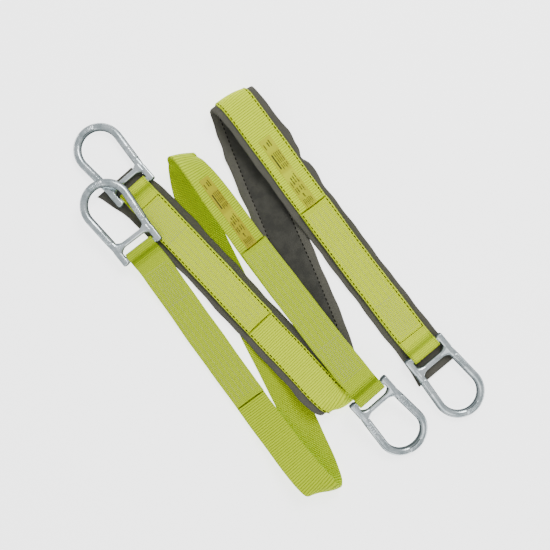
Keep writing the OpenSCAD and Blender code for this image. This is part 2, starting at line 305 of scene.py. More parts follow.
class Strip:
    """Points p along a strap's middle, with the direction w across it, t along it, its normal n and
    the distance d from its start."""

    def __init__(self, points, widths):
        p = np.asarray(points, float)
        n = len(p)
        ahead, behind = p[np.minimum(np.arange(n) + 1, n - 1)], p[np.maximum(np.arange(n) - 1, 0)]
        t = unit(ahead - behind)
        w = np.asarray(widths, float)
        w = unit(w - (w * t).sum(1)[:, None] * t)
        self.p, self.w, self.t, self.n = p, w, t, np.cross(t, w)
        self.d = np.concatenate([[0], np.cumsum(np.linalg.norm(np.diff(p, axis=0), axis=1))])

    @property
    def length(self):
        return self.d[-1]

    def changed(self, **rows):
        """A copy of the strip with some of its rows replaced."""
        out = copy.copy(self)
        for name, value in rows.items():
            setattr(out, name, value)
        return out

    def pick(self, rows, d):
        return np.stack([np.interp(d, self.d, rows[:, k]) for k in range(3)], 1)

    def cut(self, a, b, step=None):
        """The part between two distances along the strap, with even rows if there is a step."""
        if step is None:
            d = np.concatenate([[a], self.d[(self.d > a + 0.5) & (self.d < b - 0.5)], [b]])
        else:
            d = np.linspace(a, b, max(2, int(round((b - a) / step)) + 1))
        return self.changed(p=self.pick(self.p, d), w=unit(self.pick(self.w, d)),
                            n=unit(self.pick(self.n, d)), t=unit(self.pick(self.t, d)), d=d - a)

    def reverse(self):
        """The same strap followed from its other end."""
        return self.changed(p=self.p[::-1], w=-self.w[::-1], n=self.n[::-1], t=-self.t[::-1],
                            d=self.length - self.d[::-1])

    def lifted(self, lift):
        return self.changed(p=self.p + np.asarray(lift)[:, None] * self.n)

    def at(self, d, side, lift):
        """Points at distances d along, side across and lift above the strap's middle."""
        d = np.atleast_1d(np.asarray(d, float))
        side, lift = np.broadcast_to(side, d.shape), np.broadcast_to(lift, d.shape)
        return (self.pick(self.p, d) + side[:, None] * unit(self.pick(self.w, d))
                + lift[:, None] * unit(self.pick(self.n, d)))

    def up(self, d):
        return self.at(d, 0, 1) - self.at(d, 0, 0)


def smooth_rows(stations):
    """Rows on cubic curves through the stations."""
    r = np.array(stations, float)
    gaps = np.linalg.norm(np.diff(r[:, :3], axis=0), axis=1)
    s = np.diff(r, axis=0) / gaps[:, None]
    inner = (s[:-1] * gaps[1:, None] + s[1:] * gaps[:-1, None]) / (gaps[:-1] + gaps[1:])[:, None]
    slope = np.vstack([s[:1], inner, s[-1:]])
    rows = []
    for i, h in enumerate(gaps):
        for j in range(STEPS):
            t = j / STEPS
            rows.append((2 * t**3 - 3 * t**2 + 1) * r[i] + (t**3 - 2 * t**2 + t) * h * slope[i]
                        + (3 * t**2 - 2 * t**3) * r[i + 1] + (t**3 - t**2) * h * slope[i + 1])
    return np.array(rows + [r[-1]])


def route(stations):
    rows = smooth_rows(stations)
    yaw, rise = np.radians(rows[:, 3]), np.radians(rows[:, 4])
    w = np.stack([np.cos(rise) * np.cos(yaw), np.cos(rise) * np.sin(yaw), np.sin(rise)], 1)
    return Strip(rows[:, :3], w)


def station(strip, k):
    """Distance along a route at station k, which may lie between two stations."""
    return float(np.interp(k * STEPS, np.arange(len(strip.d)), strip.d))


def fold_push(main, folds, d, side):
    """How far cloth stands out at its folds: outwards in its middle, inwards at its edges."""
    u2 = (side / 25.0) ** 2
    return sum(bell(d, station(main, k), reach)
               * (middle * (1 - u2) + np.where(side < 0, left, right) * u2)
               for k, reach, middle, left, right in folds)


def drawn_in(main, corners, d, side):
    """Distances across the strap after its corners are drawn in at the folds."""
    for k, reach, sign, amount in corners:
        side = side - (sign * amount * bell(d, station(main, k), reach)
                       * np.clip(sign * side / 25, 0, 1.4) ** 2)
    return side


def tail_of(main, tail):
    """The sewn tail, which lies on the main ply and opens out into the eye."""
    part = main.cut(0, tail)
    return part.lifted(PLY + (2 * EYE_R - PLY) * (1 - ease(part.d / EYE_CLOSE)))


def eye(bar):
    """The turn round a ring's end bar, from its lower side to its upper one."""
    h = math.radians(bar[3])
    a = np.radians(np.arange(-84, 85, 6))
    return (np.array(bar[:3]) + EYE_R * (np.cos(a)[:, None] * np.array([math.cos(h), math.sin(h), 0])
            + np.sin(a)[:, None] * np.array([0, 0, 1])))


def bar_dir(bar, like):
    """The direction of an end bar's axis, towards the same side as another direction."""
    h = math.radians(bar[3])
    axis = np.array([-math.sin(h), math.cos(h), 0])
    return axis * np.sign(axis @ like)


def whole_strap(main, bar_a, bar_b, tail):
    """The whole length of webbing, and where along it the eyes start and end."""
    ta, tb = tail_of(main, tail), tail_of(main.reverse(), tail)
    wa, wb = bar_dir(bar_a, main.w[0]), bar_dir(bar_b, main.w[-1])
    ea, eb = eye(bar_a)[::-1], eye(bar_b)
    points = np.vstack([ta.p[::-1], ea, main.p, eb, tb.p])
    widths = np.vstack([ta.w[::-1], np.tile(wa, (len(ea), 1)), main.w, np.tile(wb, (len(eb), 1)), -tb.w])
    strip = Strip(points, widths)
    return strip, strip.d[np.cumsum([len(ta.p), len(ea), len(main.p), len(eb)])]


# ------------------------------------------------------------------ meshes
def new_object(name, verts, faces, mat, lies=True):
    """An object from points in mm; lies says that they may not go under the floor."""
    mesh = bpy.data.meshes.new(name)
    verts = np.asarray(verts)
    if lies:
        verts[:, 2] = np.maximum(verts[:, 2], FLOOR_GAP)
    mesh.from_pydata((verts * MM).tolist(), [], [tuple(int(i) for i in f) for f in faces])
    mesh.validate()
    mesh.polygons.foreach_set("use_smooth", [True] * len(mesh.polygons))
    mesh.materials.append(mat)
    ob = bpy.data.objects.new(name, mesh)
    bpy.context.scene.collection.objects.link(ob)
    return ob


def paint(ob, name, values):
    """Stores one vector for each vertex, which the materials read."""
    layer = ob.data.attributes.new(name, "FLOAT_VECTOR", "POINT")
    layer.data.foreach_set("vector", np.asarray(values, np.float32).ravel())


def skin_faces(rows, ring):
    """Faces of a closed tube of rows, each a ring of points, with both ends closed by strips."""
    i, k = np.meshgrid(np.arange(rows - 1), np.arange(ring), indexing="ij")
    a, b = i * ring + k, i * ring + (k + 1) % ring
    faces = np.stack([a, a + ring, b + ring, b], -1).reshape(-1, 4).tolist()
    half = ring // 2
    for base, flip in ((0, False), ((rows - 1) * ring, True)):
        for j in range(half - 1):
            f = [base + j, base + j + 1, base + ring - 2 - j, base + ring - 1 - j]
            faces.append(f[::-1] if flip else f)
    return faces


def ribbon(name, strip, profile, mat, shape, zone=None):
    """A ribbon of a profile [(side, lift)], a closed ring that starts with its lower face.
    shape(d, side, lift, face) moves the points, where face is -1 on the lower face and 1 on the
    upper one. Attribute cloth is (across, along, face), and zone(d) gives a second attribute."""
    n, m = len(strip.p), len(profile)
    side, lift = np.array(profile).T
    mid = (lift.max() + lift.min()) / 2
    face = np.tile(np.clip((lift - mid) / (0.35 * (lift.max() - lift.min())), -1, 1), (n, 1))
    d = np.repeat(strip.d[:, None], m, 1)
    side, lift = np.tile(side, (n, 1)), np.tile(lift, (n, 1))
    cloth = np.stack([side, d, face], -1).reshape(-1, 3)
    d2, side, lift = shape(d, side, lift, face)
    p = (strip.p[:, None] + side[..., None] * strip.w[:, None] + lift[..., None] * strip.n[:, None]
         + (d2 - d)[..., None] * strip.t[:, None]).reshape(-1, 3)
    ob = new_object(name, p, skin_faces(n, m), mat)
    paint(ob, "cloth", cloth)
    if zone is not None:
        paint(ob, "zone", zone(d.reshape(-1)))
    return ob


def flat_profile(w, low, high, columns, edge):
    """A flat band's ring of points: columns along each face, with rounded edges of half-width edge."""
    x = np.linspace(-w / 2 + edge, w / 2 - edge, columns)
    mid, half = (low + high) / 2, (high - low) / 2
    turn = np.radians([-60, -25, 25, 60])
    right = [(w / 2 - edge + edge * math.cos(a), mid + half * math.sin(a)) for a in turn]
    left = [(-w / 2 + edge - edge * math.cos(a), mid - half * math.sin(a)) for a in turn]
    return [(v, low) for v in x] + right + [(v, high) for v in x[::-1]] + left


def tube(frames, rings):
    """Points and faces of a closed tube: each ring of (a, b) lies at a frame (point, a's direction,
    b's direction)."""
    rows = [[p + a * u + b * v for a, b in ring] for (p, u, v), ring in zip(frames, rings)]
    n, m = len(rows), len(rows[0])
    faces = [[i * m + k, i * m + (k + 1) % m, (i + 1) * m + (k + 1) % m, (i + 1) * m + k]
             for i in range(n - 1) for k in range(m)]
    faces += [list(range(m))[::-1], [(n - 1) * m + k for k in range(m)]]
    return np.array(rows).reshape(-1, 3), faces


# A stitch: share of its length, thickness and height at each of its rings, and points in a ring.
STITCH_AT = np.array([0, 0.12, 0.35, 0.65, 0.88, 1])
STITCH_SWELL = np.array([0.35, 0.8, 1, 1, 0.8, 0.35])
STITCH_RISE = np.array([-0.9, -0.25, 0.1, 0.1, -0.25, -0.9])
STITCH_SIDES = 6


def stitches(name, ends, radius, mat):
    """One thread for each pair of ends: a short cord, high in its middle and sunk at its ends."""
    verts, faces = [], []
    sides, last = STITCH_SIDES, len(STITCH_AT) - 1
    angles = np.arange(sides) * 2 * math.pi / sides
    for p, q, up in ends:
        t = unit(q - p)
        side = unit(np.cross(t, up))
        base = len(verts)
        for f, swell, rise in zip(STITCH_AT, STITCH_SWELL, STITCH_RISE):
            c = p + f * (q - p) + up * radius * rise
            for a in angles:
                verts.append(c + radius * swell * (math.cos(a) * side + math.sin(a) * up))
        for k in range(last):
            for j in range(sides):
                a, b = base + k * sides + j, base + k * sides + (j + 1) % sides
                faces.append([a, b, b + sides, a + sides])
        faces.append([base + j for j in range(sides)][::-1])
        faces.append([base + last * sides + j for j in range(sides)])
    return new_object(name, verts, faces, mat)


def row_of(strip, start, stop, pitch, share, side, lift, zigzag=0.0):
    """Stitches along a strap: pitch is their spacing, share how much of it a stitch takes. side and
    lift are numbers, or functions of the distance along (and, for lift, of the side)."""
    count = max(1, int((stop - start) / pitch))
    pitch = (stop - start) / count
    d0 = start + pitch * np.arange(count)
    d1 = d0 + pitch * share
    sign = np.where(np.arange(count) % 2 == 0, 1.0, -1.0)
    side = side(d0) if callable(side) else side
    lift = lift(d0, side) if callable(lift) else lift
    a = strip.at(d0, side - zigzag * sign, lift)
    b = strip.at(d1, side + zigzag * sign, lift)
    return list(zip(a, b, strip.up(d0)))


def cross_row(strip, d, half, pitch, share, lift, bow=0.0):
    """Stitches across a strap at a distance along it, bowed along it in their middle."""
    count = max(1, int(2 * half / pitch))
    x0 = -half + 2 * half / count * np.arange(count)
    x1 = x0 + 2 * half / count * share
    d0, d1 = (d + bow * (1 - (x / half) ** 2) for x in (x0, x1))
    return list(zip(strip.at(d0, x0, lift), strip.at(d1, x1, lift), strip.up(d0)))


# ------------------------------------------------------------------ materials
RIB_CELL, DOT_CELL = (3.7, 2.5), (2.6, 3.1)     # weave of the webbing's two faces, along and across
PAD_CELL, LABEL_CELL = (1.1, 1.3), (0.8, 0.8)
CORD_PITCH = 1.25                               # the fine cords that run along the webbing


def brick(net, across, along, cell):
    """Two rounded profiles, along and across, of a weave whose rows of cells are shifted by half."""
    v = net.m("DIVIDE", along, cell[0])
    row = net.m("FLOOR", v)
    fy = net.m("FRACT", v)
    u = net.m("ADD", net.m("DIVIDE", across, cell[1]), net.times(row, 0.5))
    fx = net.m("FRACT", net.m("ADD", u, 100.0))     # far enough along to be above 0 everywhere
    return [net.m("SINE", net.times(f, math.pi)) for f in (fy, fx)]


def web_material(name, crest, groove, seam=False):
    mat, net, shader = material(name, Roughness=0.7, Specular_IOR_Level=0.12)
    vec, (x, y, face) = net.attribute("cloth")
    _, (doubled, eye_z, crease) = net.attribute("zone")
    off_middle = net.m("ABSOLUTE", x)
    # a little unevenness in the yarn
    wob = net.times(net.m("SUBTRACT", net.noise(vec, 0.22, 2), 0.5), 1.2)
    yy = net.m("ADD", y, wob)
    # ribs on the upper face and dots on the lower one
    ry, rx = brick(net, x, yy, RIB_CELL)
    rib = net.times(net.m("POWER", ry, 0.55), net.m("MULTIPLY_ADD", net.m("POWER", rx, 0.6), 0.3, 0.7))
    dy, dx = brick(net, x, yy, DOT_CELL)
    dots = net.times(net.m("POWER", dy, 0.7), net.m("MULTIPLY_ADD", net.m("POWER", dx, 0.7), 0.65, 0.35))
    top = net.step(face, -0.3, 0.3)
    h = net.m("ADD", net.times(rib, top), net.times(dots, net.m("SUBTRACT", 1.0, top)))
    # the sewn part is pulled flatter, and the eye is stretched smooth
    calm = net.m("SUBTRACT", 1.0, net.m("ADD", net.times(doubled, 0.12), net.times(eye_z, 0.3)))
    cords = net.m("SINE", net.times(x, 2 * math.pi / CORD_PITCH))
    height = net.m("ADD", net.times(h, calm), net.times(cords, 0.05))
    height = net.m("ADD", height, net.times(net.noise(vec, 2.6, 2), 0.10))
    shade = net.m("MULTIPLY_ADD", net.m("SUBTRACT", h, 0.62), net.times(calm, 1.3), 0.62, clamp=True)
    colour = net.mix(shade, groove, crest)
    # broad patches of wear, a paler sewn part and darker edges
    big = net.noise(vec, 0.03, 3)
    colour = net.mix(net.times(net.step(big, 0.35, 0.7), 0.18), colour, tuple(0.86 * c for c in crest))
    pale = (min(1, crest[0] * 1.10), min(1, crest[1] * 1.08), crest[2] + 0.02)
    colour = net.mix(net.times(doubled, 0.28), colour, pale)
    colour = net.mix(net.times(net.step(off_middle, 22.8, 24.6), 0.22), colour, groove)
    if seam:
        # along each seam the webbing is pressed into a groove: a dent in the bump, and a darker line that is
        # partly the needle holes, partly painted shade in the groove
        seam_groove_and_shade = net.band(off_middle, SEAM_SIDE - 0.5, SEAM_SIDE + 0.5, 0.3)
        colour = net.mix(net.times(seam_groove_and_shade, 0.3), colour, groove)
        height = net.m("SUBTRACT", height, seam_groove_and_shade)
    # painted shade: the crease behind the roll round the bar is coloured darker, standing in for the shade
    # where the tail drops on to the main ply
    colour = net.mix(net.times(crease, 0.75), colour, tuple(0.8 * c for c in groove))
    net.put(shader.inputs["Base Color"], colour)
    net.put(shader.inputs["Roughness"], net.m("SUBTRACT", 0.66, net.times(eye_z, 0.2)))
    net.put(shader.inputs["Normal"], net.bump(height, 0.0008))
    return mat


def pad_material():
    mat, net, shader = material("wear_pad_cloth", Roughness=0.9, Specular_IOR_Level=0.1,
                                Sheen_Weight=0.06, Sheen_Roughness=0.6)
    vec, (x, y, face) = net.attribute("cloth")
    off_middle = net.m("ABSOLUTE", x)
    gy, gx = brick(net, x, y, PAD_CELL)
    weave = net.times(net.m("POWER", gy, 0.6), net.m("POWER", gx, 0.6))
    fluff = net.noise(vec, 1.7, 4, 0.7)
    patch = net.noise(vec, 0.05, 3)
    colour = net.mix(net.step(fluff, 0.3, 0.72), (0.070, 0.068, 0.055), (0.112, 0.108, 0.088))
    colour = net.mix(net.times(net.step(patch, 0.4, 0.65), 0.35), colour, (0.066, 0.064, 0.054))
    colour = net.mix(net.times(weave, 0.2), colour, (0.125, 0.121, 0.100))
    # painted shade: the panel between the seams is darker on its open face, in clouds, standing in for the
    # shade in the hollow between the seams
    panel_shade = net.m("SUBTRACT", 1.0, net.step(off_middle, 20.5, 23.5))
    panel_shade = net.times(panel_shade, net.step(face, 0.3, -0.3))
    shade_clouds = net.m("MULTIPLY_ADD", net.step(net.noise(vec, 0.045, 3), 0.35, 0.65), -0.25, 0.75)
    colour = net.mix(net.times(panel_shade, shade_clouds), colour, (0.024, 0.0245, 0.022))
    hem = net.times(net.step(off_middle, 33.2, 34.6), 0.3)
    colour = net.mix(hem, colour, (0.05, 0.05, 0.043))
    net.put(shader.inputs["Base Color"], colour)
    height = net.m("ADD", net.times(weave, 0.5), net.times(fluff, 0.8))
    net.put(shader.inputs["Normal"], net.bump(height, 0.0004, 0.7))
    return mat


def thread_material(name, colour):
    mat, net, shader = material(name, Roughness=0.8, Specular_IOR_Level=0.05)
    place = net.coordinate("Object")
    dark, bright = tuple(0.75 * c for c in colour), tuple(min(1, 1.2 * c) for c in colour)
    net.put(shader.inputs["Base Color"], net.mix(net.noise(place, 900, 2), dark, bright))
    net.put(shader.inputs["Normal"], net.bump(net.noise(place, 2600, 1), 0.0002, 0.5))
    return mat


# Marks on a label in place of print, in mm: two sides across, start and end along.
HEAD_BARS = ((-7.2, -5.8, 7, 16), (-1, 0.8, 6, 14), (2.8, 4.4, 4, 15))
FINE_LINES = [(-2.0 + 2.9 * k, -0.7 + 2.9 * k, 25, 55 - 3 * (k % 2)) for k in range(4)]
BOLD_BAR = (-6.4, -4.2, 26, 52)
SHORT_LINES = ((-7.2, -5.8, 74, 99), (-3.4, -1.4, 70, 83), (0.6, 2.4, 69, 81), (4.6, 6.2, 64, 83),
               (-4.2, -2.4, 87, 97), (0.8, 2.6, 85, 95), (4.6, 6.2, 88, 98), (-1.6, 0.4, 100, 108))
FOOT_LINES = [(-7.2 + 2.5 * k, -5.9 + 2.5 * k, 106 + 2 * (k % 3), 121 - 2 * (k % 2)) for k in range(6)]


def label_marks(net, x, y):
    """Where the marks lie: solid bars, and lines broken into uneven dashes."""
    across = net.times(x, -1.0)
    wave = net.m("SINE", net.times(y, 0.9))
    dash = net.step(net.m("SINE", net.m("MULTIPLY_ADD", wave, 1.4, net.times(y, 1.5))), -0.95, -0.6)

    def box(x0, x1, y0, y1):
        return net.times(net.band(across, x0, x1, 0.12), net.band(y, y0, y1, 0.2))

    parts = [box(*spec) for spec in HEAD_BARS]
    parts += [net.times(box(*spec), dash) for spec in FINE_LINES]
    parts.append(box(*BOLD_BAR))
    parts += [net.times(box(*spec), net.times(dash, 0.95)) for spec in SHORT_LINES]
    parts += [net.times(box(*spec), net.times(dash, 0.9)) for spec in FOOT_LINES]
    marks = parts[0]
    for part in parts[1:]:
        marks = net.m("ADD", marks, part, clamp=True)
    return marks


def label_material(name, ground, strong, pale, ink):
    """A woven label with plain bars and blocks in place of print."""
    mat, net, shader = material(name, Roughness=0.5, Specular_IOR_Level=0.25)
    vec, (x, y, face) = net.attribute("cloth")
    noise = net.noise(vec, 0.6, 3)
    block = net.m("ADD", net.band(y, 22, 58, 2), net.band(y, 78, 124, 2), clamp=True)
    colour = net.mix(net.times(block, 0.9), ground, strong)
    colour = net.mix(net.times(net.band(y, 60, 76, 2), 0.8), colour, pale)
    colour = net.mix(net.times(net.step(noise, 0.45, 0.75), 0.25), colour, pale)
    marks = net.times(label_marks(net, x, y), net.step(face, -0.2, 0.4))
    colour = net.mix(net.times(marks, 0.95), colour, ink)
    gy, gx = brick(net, x, y, LABEL_CELL)
    net.put(shader.inputs["Base Color"], colour)
    net.put(shader.inputs["Normal"], net.bump(net.m("ADD", net.times(gy, gx), noise), 0.00015, 0.6))
    return mat


def steel_material():
    mat, net, shader = material("zinc_steel", Metallic=0.95, Roughness=0.25, Specular_IOR_Level=0.0)
    place = net.coordinate("Object")
    cloud = net.noise(place, 55, 4, 0.6)
    grain = net.noise(place, 900, 3, 0.7)
    scuff = net.noise(place, 240, 5, 0.75)
    colour = net.mix(net.step(cloud, 0.3, 0.7), (0.42, 0.49, 0.51), (0.74, 0.80, 0.82))
    colour = net.mix(net.times(net.step(scuff, 0.6, 0.72), 0.3), colour, (0.48, 0.52, 0.53))
    # painted shade: the steep sides are coloured near black and made less metallic, standing in for the dark
    # surroundings that they reflect; the upward faces keep the bright metal
    level = net.m("ABSOLUTE", net.split(net.coordinate("Normal"))[2])
    side = net.m("SUBTRACT", 1.0, net.step(level, 0.42, 0.88))
    colour = net.mix(net.times(side, 0.96), colour, (0.040, 0.052, 0.055))
    net.put(shader.inputs["Metallic"], net.m("MULTIPLY_ADD", side, -0.95, 0.95))
    net.put(shader.inputs["Base Color"], colour)
    net.put(shader.inputs["Roughness"], net.m("MULTIPLY_ADD", scuff, 0.20, 0.14))
    height = net.m("ADD", grain, net.times(cloud, 2.0))
    net.put(shader.inputs["Normal"], net.bump(height, 0.00015, 0.5))
    return mat


WEB = web_material("plain_webbing_cloth", (0.58, 0.74, 0.002), (0.17, 0.28, 0.0))
WEB2 = web_material("padded_webbing_cloth", (0.80, 0.96, 0.006), (0.32, 0.46, 0.0), seam=True)
PAD = pad_material()
LIGHT = thread_material("light_thread_twist", (0.50, 0.50, 0.30))
DARK = thread_material("dark_thread_twist", (0.006, 0.006, 0.004))
# the tack at a tail's cut end: dark thread, and the painted shadow along the cut edge
TAIL_THREAD_AND_SHADOW = thread_material("tail_thread_and_shadow", (0.045, 0.045, 0.004))
LABEL = label_material("plain_label_print", ground=(0.40, 0.385, 0.0), strong=(0.38, 0.345, 0.0),
                       pale=(0.50, 0.50, 0.0), ink=(0.006, 0.006, 0.0))
LABEL2 = label_material("padded_label_print", ground=(0.52, 0.56, 0.0), strong=(0.48, 0.50, 0.0),
                        pale=(0.62, 0.70, 0.0), ink=(0.010, 0.010, 0.0))
STEEL = steel_material()

plain_main, padded_main = route(PLAIN_ROUTE), route(PADDED_ROUTE)


# ------------------------------------------------------------------ webbing
def webbing(name, node, main, bar_a, bar_b, tail, folds, corners, mat):
    strip, (eye_a0, eye_a1, eye_b0, eye_b1) = whole_strap(main, bar_a, bar_b, tail)
    total = strip.length
    ea, eb = (eye_a0 + eye_a1) / 2, (eye_b0 + eye_b1) / 2

    def from_eye(d):
        return np.minimum(np.abs(d - ea), np.abs(d - eb))

    def zone(d):
        """Where the webbing is sewn double, turns round a bar, or is creased behind it."""
        doubled = ((d < eye_a0 - 20) | (d > eye_b1 + 20)).astype(float)
        near = from_eye(d)
        return np.stack([doubled, 1 - ease((near - 10) / 8), bell(near, 21, 4.0)], 1)

    def shape(d, side, lift, face):
        # the edges wander a little, and the webbing is narrower near a ring
        near = from_eye(d)
        sign = np.sign(side)
        wander = 0.35 * np.sin(d / 37 + 1.3 * sign) + 0.22 * np.sin(d / 13.1 + 2.1 * sign)
        out = side + sign * wander * np.clip((np.abs(side) - 18) / 7, 0, 1) * ease((near - 15) / 40)
        out = out * (1 - 0.026 * (1 - ease((near - 20) / 40)))
        out = drawn_in(main, corners, d - eye_a1, out)
        # behind the roll round the bar the tail drops on to the main ply, with small creases
        on_tail = ((d < ea) | (d > eb)).astype(float)
        drop = 3.4 * bell(near, 20.5, 4.2)
        crease = sum(height * bell(near, place, reach) for place, reach, height in EYE_CREASES)
        lift = (lift + on_tail * (drop + crease * np.clip(-face, 0, 1))
                + fold_push(main, folds, d - eye_a1, side))
        # a cut end sinks a little and bows
        end = np.minimum(d, total - d)
        lift = lift - 0.5 * (1 - ease(end / 7)) * (0.6 + 0.4 * np.cos(side / 11))
        inward = np.where(d < total / 2, 1, -1)
        bow = 1.8 * (1 - (side / 25) ** 2) * (1 - ease(end / 9)) * inward
        return d + bow, out, lift

    profile = flat_profile(WEB_W, -WEB_T / 2, WEB_T / 2, columns=15, edge=1.3)
    ob = ribbon(name, strip.cut(0, total, step=1.25), profile, mat, shape, zone)
    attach(ob, "straps")
    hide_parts(node)


webbing("plain_strap", "plain_webbing", plain_main, PLAIN_A, PLAIN_B, PLAIN_TAIL, PLAIN_FOLDS,
        PLAIN_CORNERS, WEB)
webbing("padded_strap", "padded_webbing", padded_main, PADDED_A, PADDED_B, PADDED_TAIL, PADDED_FOLDS,
        PADDED_CORNERS, WEB2)


# ------------------------------------------------------------------ wear pad
def run_on(strip, far, aside):
    """The strip with a level piece, far long, added before its start; that end swings aside."""
    d = unit((strip.p[0] - strip.p[1]) * (1, 1, 0))
    count = 12
    more = [strip.p[0] + d * far * (count - k) / count for k in range(count)]
    out = Strip(np.vstack([more, strip.p]), np.vstack([np.tile(strip.w[0], (count, 1)), strip.w]))
    out.w, out.n = np.vstack([out.w[:count], strip.w]), np.vstack([out.n[:count], strip.n])
    swing = aside * np.clip(1 - out.d / (far + STITCH_FROM - 4), 0, 1) ** 1.7
    out.p = out.p + swing[:, None] * out.w
    return out


def wear_pad():
    main = padded_main
    strip = run_on(run_on(main, PAD_RUN_A, -PAD_ASIDE_A).reverse(), PAD_RUN_B, PAD_ASIDE_B).reverse()
    low = -WEB_T / 2 - GAP - PAD_T
    waves = {sign: [(station(main, k) + PAD_RUN_A, reach, out) for k, reach, out in rows]
             for sign, rows in PAD_WAVES.items()}

    def shape(d, side, lift, face):
        out = np.zeros_like(d)
        for sign, rows in waves.items():
            extra = sum(outward * bell(d, place, reach) for place, reach, outward in rows)
            extra = extra + 0.55 * np.sin(d / 17.0 + sign) + 0.35 * np.sin(d / 7.3 + 2 * sign)
            out = out + np.where(np.sign(side) == sign, sign * extra, 0)
        # margin runs from 0 at the seam to 1 at the free edge
        off_seam = np.abs(side) - SEAM_SIDE
        margin = np.clip((off_seam - 1) / (PAD_W / 2 - SEAM_SIDE - 1), 0, 1)
        side2 = side + out * margin
        # seams press the pad down, the margins and the middle stay soft
        seam = bell(off_seam, 0, 1.5)
        pucker = 0.16 * np.sin(d / 2.1) * bell(off_seam, 0, 3.5)
        lower, upper = np.clip(-face, 0, 1), np.clip(face, 0, 1)
        swell = 0.55 * np.cos(np.clip(np.abs(side) / SEAM_SIDE, 0, 1) * math.pi / 2)
        swell = swell + 0.30 * np.sin(margin * math.pi)
        soft = 0.35 * np.sin(d / 23.0 + side / 9.0) + 0.25 * np.sin(d / 11.0 - side / 6.5)
        lift = lift - lower * (swell + 0.5 * soft * (1 - seam) - 0.9 * seam + pucker)
        lift = lift + upper * margin * (0.5 * np.sin(margin * math.pi) + pucker)
        # the free margins lift and drop a little
        sign = np.sign(side)
        flutter = 0.7 * np.sin(d / 29.0 + 1.7 * sign) + 0.45 * np.sin(d / 12.5 + 0.6 * sign) + 0.5
        lift = lift + fold_push(main, PADDED_FOLDS, d - PAD_RUN_A, side2) + margin ** 1.5 * flutter
        return d, drawn_in(main, PADDED_CORNERS, d - PAD_RUN_A, side2), lift

    profile = flat_profile(PAD_W, low, low + PAD_T, columns=29, edge=1.3)
    ob = ribbon("wear_pad_cloth_body", strip.cut(0, strip.length, step=2.0), profile, PAD, shape)
    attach(ob, "straps")
    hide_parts("wear_pad")


wear_pad()


# ------------------------------------------------------------------ labels
def label(name, node, main, tail, mat):
    """A label whose end is tucked under a tail; its print runs down from its far end."""
    part = main.reverse().cut(tail - LABEL_TUCK, tail + 1 + LABEL_LEN, step=1.5)
    low = WEB_T / 2 + GAP

    def shape(d, side, lift, face):
        wave = 0.12 * np.sin(d / 6.0 + side / 3.0) + 0.10 * np.sin(d / 2.9)
        return d, side + 1.0, lift + np.maximum(0, wave) * 0.8

    profile = flat_profile(LABEL_W, low, low + LABEL_T, columns=9, edge=0.3)
    ob = ribbon(name, part, profile, mat, shape)
    layer = ob.data.attributes["cloth"]
    cloth = np.zeros(len(ob.data.vertices) * 3, np.float32)
    layer.data.foreach_get("vector", cloth)
    cloth[1::3] = LABEL_LEN + LABEL_TUCK - cloth[1::3]
    layer.data.foreach_set("vector", cloth)
    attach(ob, "straps")
    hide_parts(node)


label("plain_label_cloth", "plain_label", plain_main, PLAIN_TAIL, LABEL)
label("padded_label_cloth", "padded_label", padded_main, PADDED_TAIL, LABEL2)


# ------------------------------------------------------------------ sewing
def sewing(name, ends, radius, mat, node):
    ob = stitches(name, ends, radius, mat)
    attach(ob, "straps")
    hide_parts(node)


def splice(name, node, main, tail, rows, dense):
    """Lengthways zigzag rows with end rows, closer together next to the ring."""
    top = tail_of(main, tail)
    start, dense_end, lift = STITCH_FROM + 4, STITCH_FROM + 62, WEB_T / 2 + 0.12
    ends = []
    for side in rows:
        ends += row_of(top, start, tail - 10, pitch=3.4, share=0.86, side=side, lift=lift, zigzag=0.75)
    for side in dense:
        ends += row_of(top, start, dense_end, pitch=3.0, share=0.86, side=side, lift=lift, zigzag=0.6)
    for d in (STITCH_FROM + 1, dense_end):
        ends += cross_row(top, d, WEB_W / 2 - 5, pitch=3.0, share=0.84, lift=lift)
    sewing(name, ends, 0.33, LIGHT, node)


def tack(name, node, main, tail):
    """The thread along a tail's cut end, which bows with the cloth, and an unbroken dark cord at the very
    edge: painted shadow, standing in for the shade under the lifted end.
    """
    top = tail_of(main, tail)
    ends = cross_row(top, tail - 1.6, WEB_W / 2 - 1.2, pitch=2.6, share=0.92, lift=WEB_T / 2 - 0.15, bow=1.6)
    # painted shadow: this unbroken dark cord along the cut edge stands in for the shade under the lifted end
    ends += cross_row(top, tail - 0.4, WEB_W / 2 - 0.6, pitch=3.4, share=1.0, lift=WEB_T / 2 - 1.2, bow=1.7)
    sewing(name, ends, 0.5, TAIL_THREAD_AND_SHADOW, node)


def cross_seam(name, node, main):
    """The seam across the webbing next to a ring, where the pad's end is sewn on."""
    ends = cross_row(tail_of(main, PADDED_TAIL), STITCH_FROM - 4, SEAM_SIDE, pitch=3.2, share=0.9,
                     lift=WEB_T / 2 + 0.2)
    sewing(name, ends, 0.6, DARK, node)


for key, part in (("a", plain_main), ("b", plain_main.reverse())):
    splice("plain_splice_thread_" + key, "plain_splice_stitching_" + key, part, PLAIN_TAIL,
           (-19, -12, -4, 4, 12, 19), (-8, 0, 8))
    tack("plain_tail_thread_and_shadow_" + key, "plain_tail_tack_" + key, part, PLAIN_TAIL)
for key, part in (("a", padded_main), ("b", padded_main.reverse())):
    splice("padded_splice_thread_" + key, "padded_splice_stitching_" + key, part, PADDED_TAIL,
           (-16, -8, 0, 8, 16), (-12, -4, 4, 12))
    tack("padded_tail_thread_and_shadow_" + key, "padded_tail_tack_" + key, part, PADDED_TAIL)
    cross_seam("pad_cross_thread_" + key, "pad_cross_seam_" + key, part)


